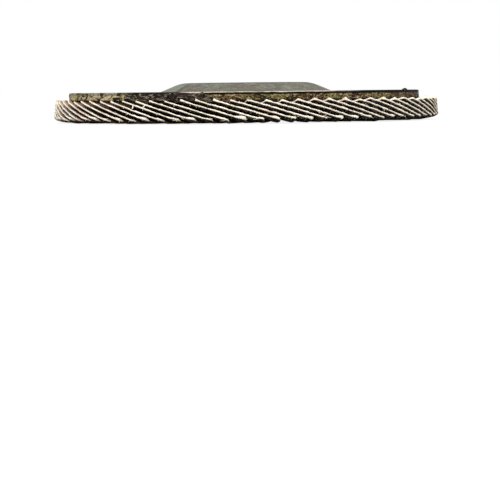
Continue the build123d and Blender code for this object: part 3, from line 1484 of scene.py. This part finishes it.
    def flap(self, index: int) -> Shell:
        """One flap as a closed lattice box, grain below and cloth above.

        Rows crowd towards the rim as the 1.7th power, and columns towards both ends. The rim and
        the ends are cut unevenly: noise over 3 mm and 0.9 mm cells moves the cut, the corners of
        the free end are rounded, and the grain layer is broken back behind the cloth.

        Args:
            index: the flap's number.

        Returns:
            The flap's shell.
        """
        rows, columns, levels = self.lattice
        used, quads, side, level = box_shell(self.lattice)
        far = 1 - (1 - np.linspace(0, 1, rows)) ** 1.7
        even = np.linspace(0, 1, columns)
        ends = 0.55 * even + 0.45 * (0.5 - 0.5 * np.cos(np.pi * even))
        far, along, layer = np.meshgrid(far, ends, np.arange(levels), indexing="ij")

        broken_rim = np.array(self.rim_break)[layer]
        broken_end = np.array(self.end_break)[layer]
        s_flat = along * self.length
        cells = np.stack((s_flat / 3.0 + index * 9.1, layer * 0.35), -1)
        fine = np.stack((s_flat / 0.9 + index * 5.3, layer * 0.6), -1)
        crumbled = 0.6 + 0.8 * value_noise(fine + 3.3, self.seed + 4)
        corner = self.corner_worn[0] * np.clip(1 - s_flat / self.corner_run[0], 0, 1) ** 2
        from_tip = self.length - s_flat
        corner += self.corner_worn[1] * np.clip(1 - from_tip / self.corner_run[1], 0, 1) ** 2
        rim = self.cut_line(s_flat, 0.0) - broken_rim * crumbled - corner
        rim += self.uneven_cut * (ripple(cells, self.seed + 2) + ripple(fine, self.seed + 3))
        rim = np.minimum(rim, self.cut_line(s_flat, None))
        x = self.inner + far * (rim - self.inner)

        out = self.share(x)
        across = np.stack((x / 1.4 + index * 7.7, layer * 0.5), -1)
        start = 0.12 * ripple(across, self.seed + 5) - self.shifted[index] * out**2 * 1.1
        finish = self.length + self.shifted[index] * out**2 + 0.14 * ripple(across + 40, self.seed + 6)
        finish -= broken_end * crumbled
        s = start + along * (finish - start)

        from_rim = rim - x
        swollen = np.exp(-((from_rim / self.swollen_reach) ** 2))
        at_ends = np.exp(-((s_flat / 0.8) ** 2)) * self.knotted[index]
        at_ends += np.exp(-(((from_tip - 0.6) / 1.7) ** 2)) * 0.9 * self.frayed[index]
        fluff = self.fluff * ripple(fine + 11.0, self.seed + 7)
        fluff *= np.exp(-((from_rim / self.fluff_reach) ** 2))
        grain_depth = self.grain_depth[0] + (self.grain_depth[1] - self.grain_depth[0]) * out
        cloth_depth = self.cloth_depth[0] + (self.cloth_depth[1] - self.cloth_depth[0]) * out
        cloth_depth = cloth_depth * (1 + swollen * at_ends + fluff)
        h = grain_depth * np.array(self.grain_share)[layer]
        h += cloth_depth * np.array(self.cloth_share)[layer]

        points = self.placed(x, s, h, index).reshape(-1, 3)[used]
        flat = np.stack((s + index * 31.0, x, h), -1).reshape(-1, 3)[used]
        slots = np.where(level < 2, FlapFace.GRAIN.value, FlapFace.CUT.value)
        slots[side == Side.UNDER.value] = FlapFace.GRAIN.value
        row = np.repeat(np.arange(rows), columns * levels)[used][quads].min(axis=1)
        top = side == Side.UPPER.value
        slots[top] = np.where(row[top] >= rows - 2, FlapFace.CUT.value, FlapFace.BACK.value)
        # Free-end cuts away from the rim take the finish of painted shade.
        tip = (side == Side.FREE_END.value) & (slots == FlapFace.CUT.value) & (row < rows - 4)
        slots[tip] = FlapFace.SHADED_CUT.value
        carried = {"cloth_mm": flat, "from_rim": from_rim.reshape(-1)[used]}
        return Shell(points, quads, slots, carried)

    def frays(self, index: int) -> Shell:
        """Loose threads along the rim and the free end, as thin four-sided tubes.

        Each thread is a curve of 7 points: it leaves the cloth, bulges out by the sine of its run,
        wanders along the flap and drops or climbs, tapering to its end. A few flaps have one thick
        thread that hangs over to the flap below.

        Args:
            index: the flap's number.

        Returns:
            One shell with all the threads of the flap.
        """
        rng = np.random.default_rng((self.seed, index))
        count, steps = self.threads, 7
        run = np.linspace(0, 1, steps)
        start = rng.uniform(0.2, self.length - 0.1, count)[:, None]
        start[: count // 3] = self.length - rng.uniform(0.0, 0.9, (count // 3, 1))
        bulge = rng.uniform(0.02, 0.22, (count, 1))
        drift = rng.normal(0, 0.8, (count, 1))
        climb = rng.uniform(-0.75, 0.6, (count, 1))
        curl = rng.uniform(-0.15, 0.15, (count, 1))
        leave = rng.uniform(0.32, 0.77, (count, 1))
        thick = rng.uniform(*self.thread_radius, (count, 1)) * (1 - 0.6 * run)
        if index in self.hanging:
            start[-1] = rng.uniform(2.5, 4.5)
            drift[-1] = rng.uniform(-0.9, 0.2)
            climb[-1] = -1.25
            thick[-1] = rng.uniform(*self.hanging_radius) * (1 - 0.3 * run)
        s = start + drift * run + curl * np.sin(2 * np.pi * run)
        x = self.cut_line(s, -0.15) + bulge * np.sin(np.pi * run * 0.8)
        x = np.minimum(x, self.cut_line(s, None) - thick)
        h = leave + climb * run**1.3
        path = self.placed(x, s, h, index)
        along = np.gradient(path, axis=1)
        along /= np.linalg.norm(along, axis=-1, keepdims=True)
        side = np.cross(along, (0.3, 0.2, 0.93))
        side /= np.linalg.norm(side, axis=-1, keepdims=True)
        other = np.cross(along, side)
        corner = np.arange(4) * np.pi / 2
        ring = side[:, :, None] * np.cos(corner)[:, None] + other[:, :, None] * np.sin(corner)[:, None]
        points = (path[:, :, None] + ring * thick[..., None, None]).reshape(-1, 3)
        number = np.arange(count * steps * 4).reshape(count, steps, 4)
        beside = np.roll(number, -1, axis=2)
        wall = np.stack((number[:, :-1], beside[:, :-1], beside[:, 1:], number[:, 1:]), axis=-1)
        quads = np.concatenate((wall.reshape(-1, 4), number[:, 0, ::-1], number[:, -1]))
        flat = np.stack(np.broadcast_arrays(s + index * 31.0, x, 0.6), -1)
        flat = np.repeat(flat[:, :, None], 4, axis=2).reshape(-1, 3)
        slots = np.full(len(quads), FlapFace.CUT.value)
        return Shell(points, quads, slots, {"cloth_mm": flat, "from_rim": np.zeros(len(flat))})

    def build(self) -> list[bpy.types.Object]:
        """Make the flaps, two to a piece, in place of their CAD nodes.

        The cut of a free end, away from the rim, is grey and dark: painted shade.

        Returns:
            The pieces' objects.
        """
        # Painted shade: the cut of a free end, away from the rim, is drawn dark.
        worn = CutClothEdge(
            name="shaded_cut_cloth_edge", cream="#6f5c4a", shade="#463729", blush="#7d6555"
        )
        finishes: list[Finish] = [AbrasiveGrain(), CutClothEdge(), SizedClothBack(), worn]
        made = []
        for number, first in enumerate(range(0, self.count, self.per_piece), start=1):
            group = range(first, first + self.per_piece)
            shells = [self.flap(index) for index in group] + [self.frays(index) for index in group]
            name = f"cloth_flaps_{number:02d}"
            piece = make_piece(name, Shell.joined(shells), finishes)
            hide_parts(f"flap_pair_{number:02d}")
            made.append(piece)
        return made


# ---- studio ----


@dataclass(frozen=True)
class Lamp:
    """A square area lamp aimed at the disc: its place and side in metres, its power in watts."""

    name: str
    place: tuple[float, float, float]
    side: float
    watts: float

    def build(self) -> None:
        """Set the lamp in its place and turn it towards the disc."""
        data = bpy.data.lights.new(self.name, "AREA")
        data.size = self.side
        data.energy = self.watts
        lamp = bpy.data.objects.new(self.name, data)
        lamp.location = self.place
        towards_disc = -Vector(self.place)
        lamp.rotation_euler = towards_disc.to_track_quat("-Z", "Y").to_euler()
        bpy.context.scene.collection.objects.link(lamp)


@dataclass
class Studio:
    """White table and surround, one large soft lamp above and a weaker one in front."""

    lamps: tuple[Lamp, ...] = (
        Lamp("key_lamp", (-0.42, -0.72, 0.78), 0.7, 6.6),
        Lamp("fill_lamp", (0.55, -0.95, 0.35), 0.6, 5.0),
    )
    surround: float = 0.78
    table_reach: float = 4.0
    table_tone: float = 0.45
    table_glow: float = 1.4
    table_glow_share: float = 0.62

    def surround_light(self) -> None:
        """White world for the camera and for reflections, and a softer one for light."""
        world = bpy.data.worlds.new("surround")
        bpy.context.scene.world = world
        world.use_nodes = True
        tree = world.node_tree
        tree.nodes.clear()
        path = add_node(tree, "ShaderNodeLightPath").outputs
        seen = path["Is Camera Ray"]
        for ray in ("Is Glossy Ray", "Is Transmission Ray"):
            seen = add_node(tree, "ShaderNodeMath", {0: seen, 1: path[ray]}, operation="MAXIMUM")
        strength = add_node(tree, "ShaderNodeMapRange", {"Value": seen, "To Min": self.surround})
        light = add_node(tree, "ShaderNodeBackground", {"Color": "#ffffff", "Strength": strength})
        add_node(tree, "ShaderNodeOutputWorld", {"Surface": light})

    def table(self) -> None:
        """White table top that keeps the disc's shadow and is clear from underneath."""
        mesh = bpy.data.meshes.new("table_top")
        reach = self.table_reach
        corners = [(-reach, -reach, 0), (reach, -reach, 0), (reach, reach, 0), (-reach, reach, 0)]
        mesh.from_pydata(corners, [], [(0, 1, 2, 3)])
        table = bpy.data.objects.new("table_top", mesh)
        bpy.context.scene.collection.objects.link(table)
        made = bpy.data.materials.new("white_table")
        made.use_nodes = True
        tree = made.node_tree
        tree.nodes.clear()
        path = add_node(tree, "ShaderNodeLightPath").outputs
        matt = add_node(tree, "ShaderNodeBsdfDiffuse", {"Color": (*[self.table_tone] * 3, 1.0)})
        glow = add_node(
            tree, "ShaderNodeEmission", {"Color": "#ffffff", "Strength": self.table_glow}
        )
        seen = add_node(
            tree,
            "ShaderNodeMath",
            {0: path["Is Camera Ray"], 1: self.table_glow_share},
            operation="MULTIPLY",
        )
        lit = add_node(tree, "ShaderNodeMixShader", {0: seen, 1: matt, 2: glow})
        clear = add_node(tree, "ShaderNodeBsdfTransparent")
        under = add_node(tree, "ShaderNodeNewGeometry").outputs["Backfacing"]
        both = add_node(tree, "ShaderNodeMixShader", {0: under, 1: lit, 2: clear})
        add_node(tree, "ShaderNodeOutputMaterial", {"Surface": both})
        mesh.materials.append(made)

    def build(self) -> None:
        """Set the table, the surround and the lamps."""
        self.table()
        self.surround_light()
        for lamp in self.lamps:
            lamp.build()


@dataclass
class StudioCamera:
    """Long lens a little above the height of the plate, tipped down and rolled slightly."""

    distance: float = 547.0
    height: float = 9.708
    focal_length: float = 120.3
    pitch: float = 5.44
    yaw: float = 0.082
    roll: float = -0.62

    def build(self) -> None:
        """Place the camera and make it the scene's own."""
        data = bpy.data.cameras.new("camera")
        data.lens = self.focal_length
        data.sensor_width = 36.0
        data.clip_start = 0.005
        data.clip_end = 20.0
        camera = bpy.data.objects.new("camera", data)
        camera.matrix_world = (
            Matrix.Translation((0, -self.distance * MM, self.height * MM))
            @ Matrix.Rotation(-np.radians(self.yaw), 4, "Z")
            @ Matrix.Rotation(np.radians(90.0 - self.pitch), 4, "X")
            @ Matrix.Rotation(np.radians(self.roll), 4, "Z")
        )
        bpy.context.scene.collection.objects.link(camera)
        bpy.context.scene.camera = camera


def main() -> None:
    """Build the disc and the studio in order, and note the size of the result."""
    logging.basicConfig(level=logging.INFO, format="%(name)s %(message)s")
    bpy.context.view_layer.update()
    plate = BackingPlate()
    plate.build()
    ArborRing().build()
    GlueBed(plate).build()
    GlueSmears(plate).build()
    FlapRing().build()
    Studio().build()
    StudioCamera().build()
    bpy.context.scene.view_settings.view_transform = "Standard"


if __name__ == "__main__":
    main()
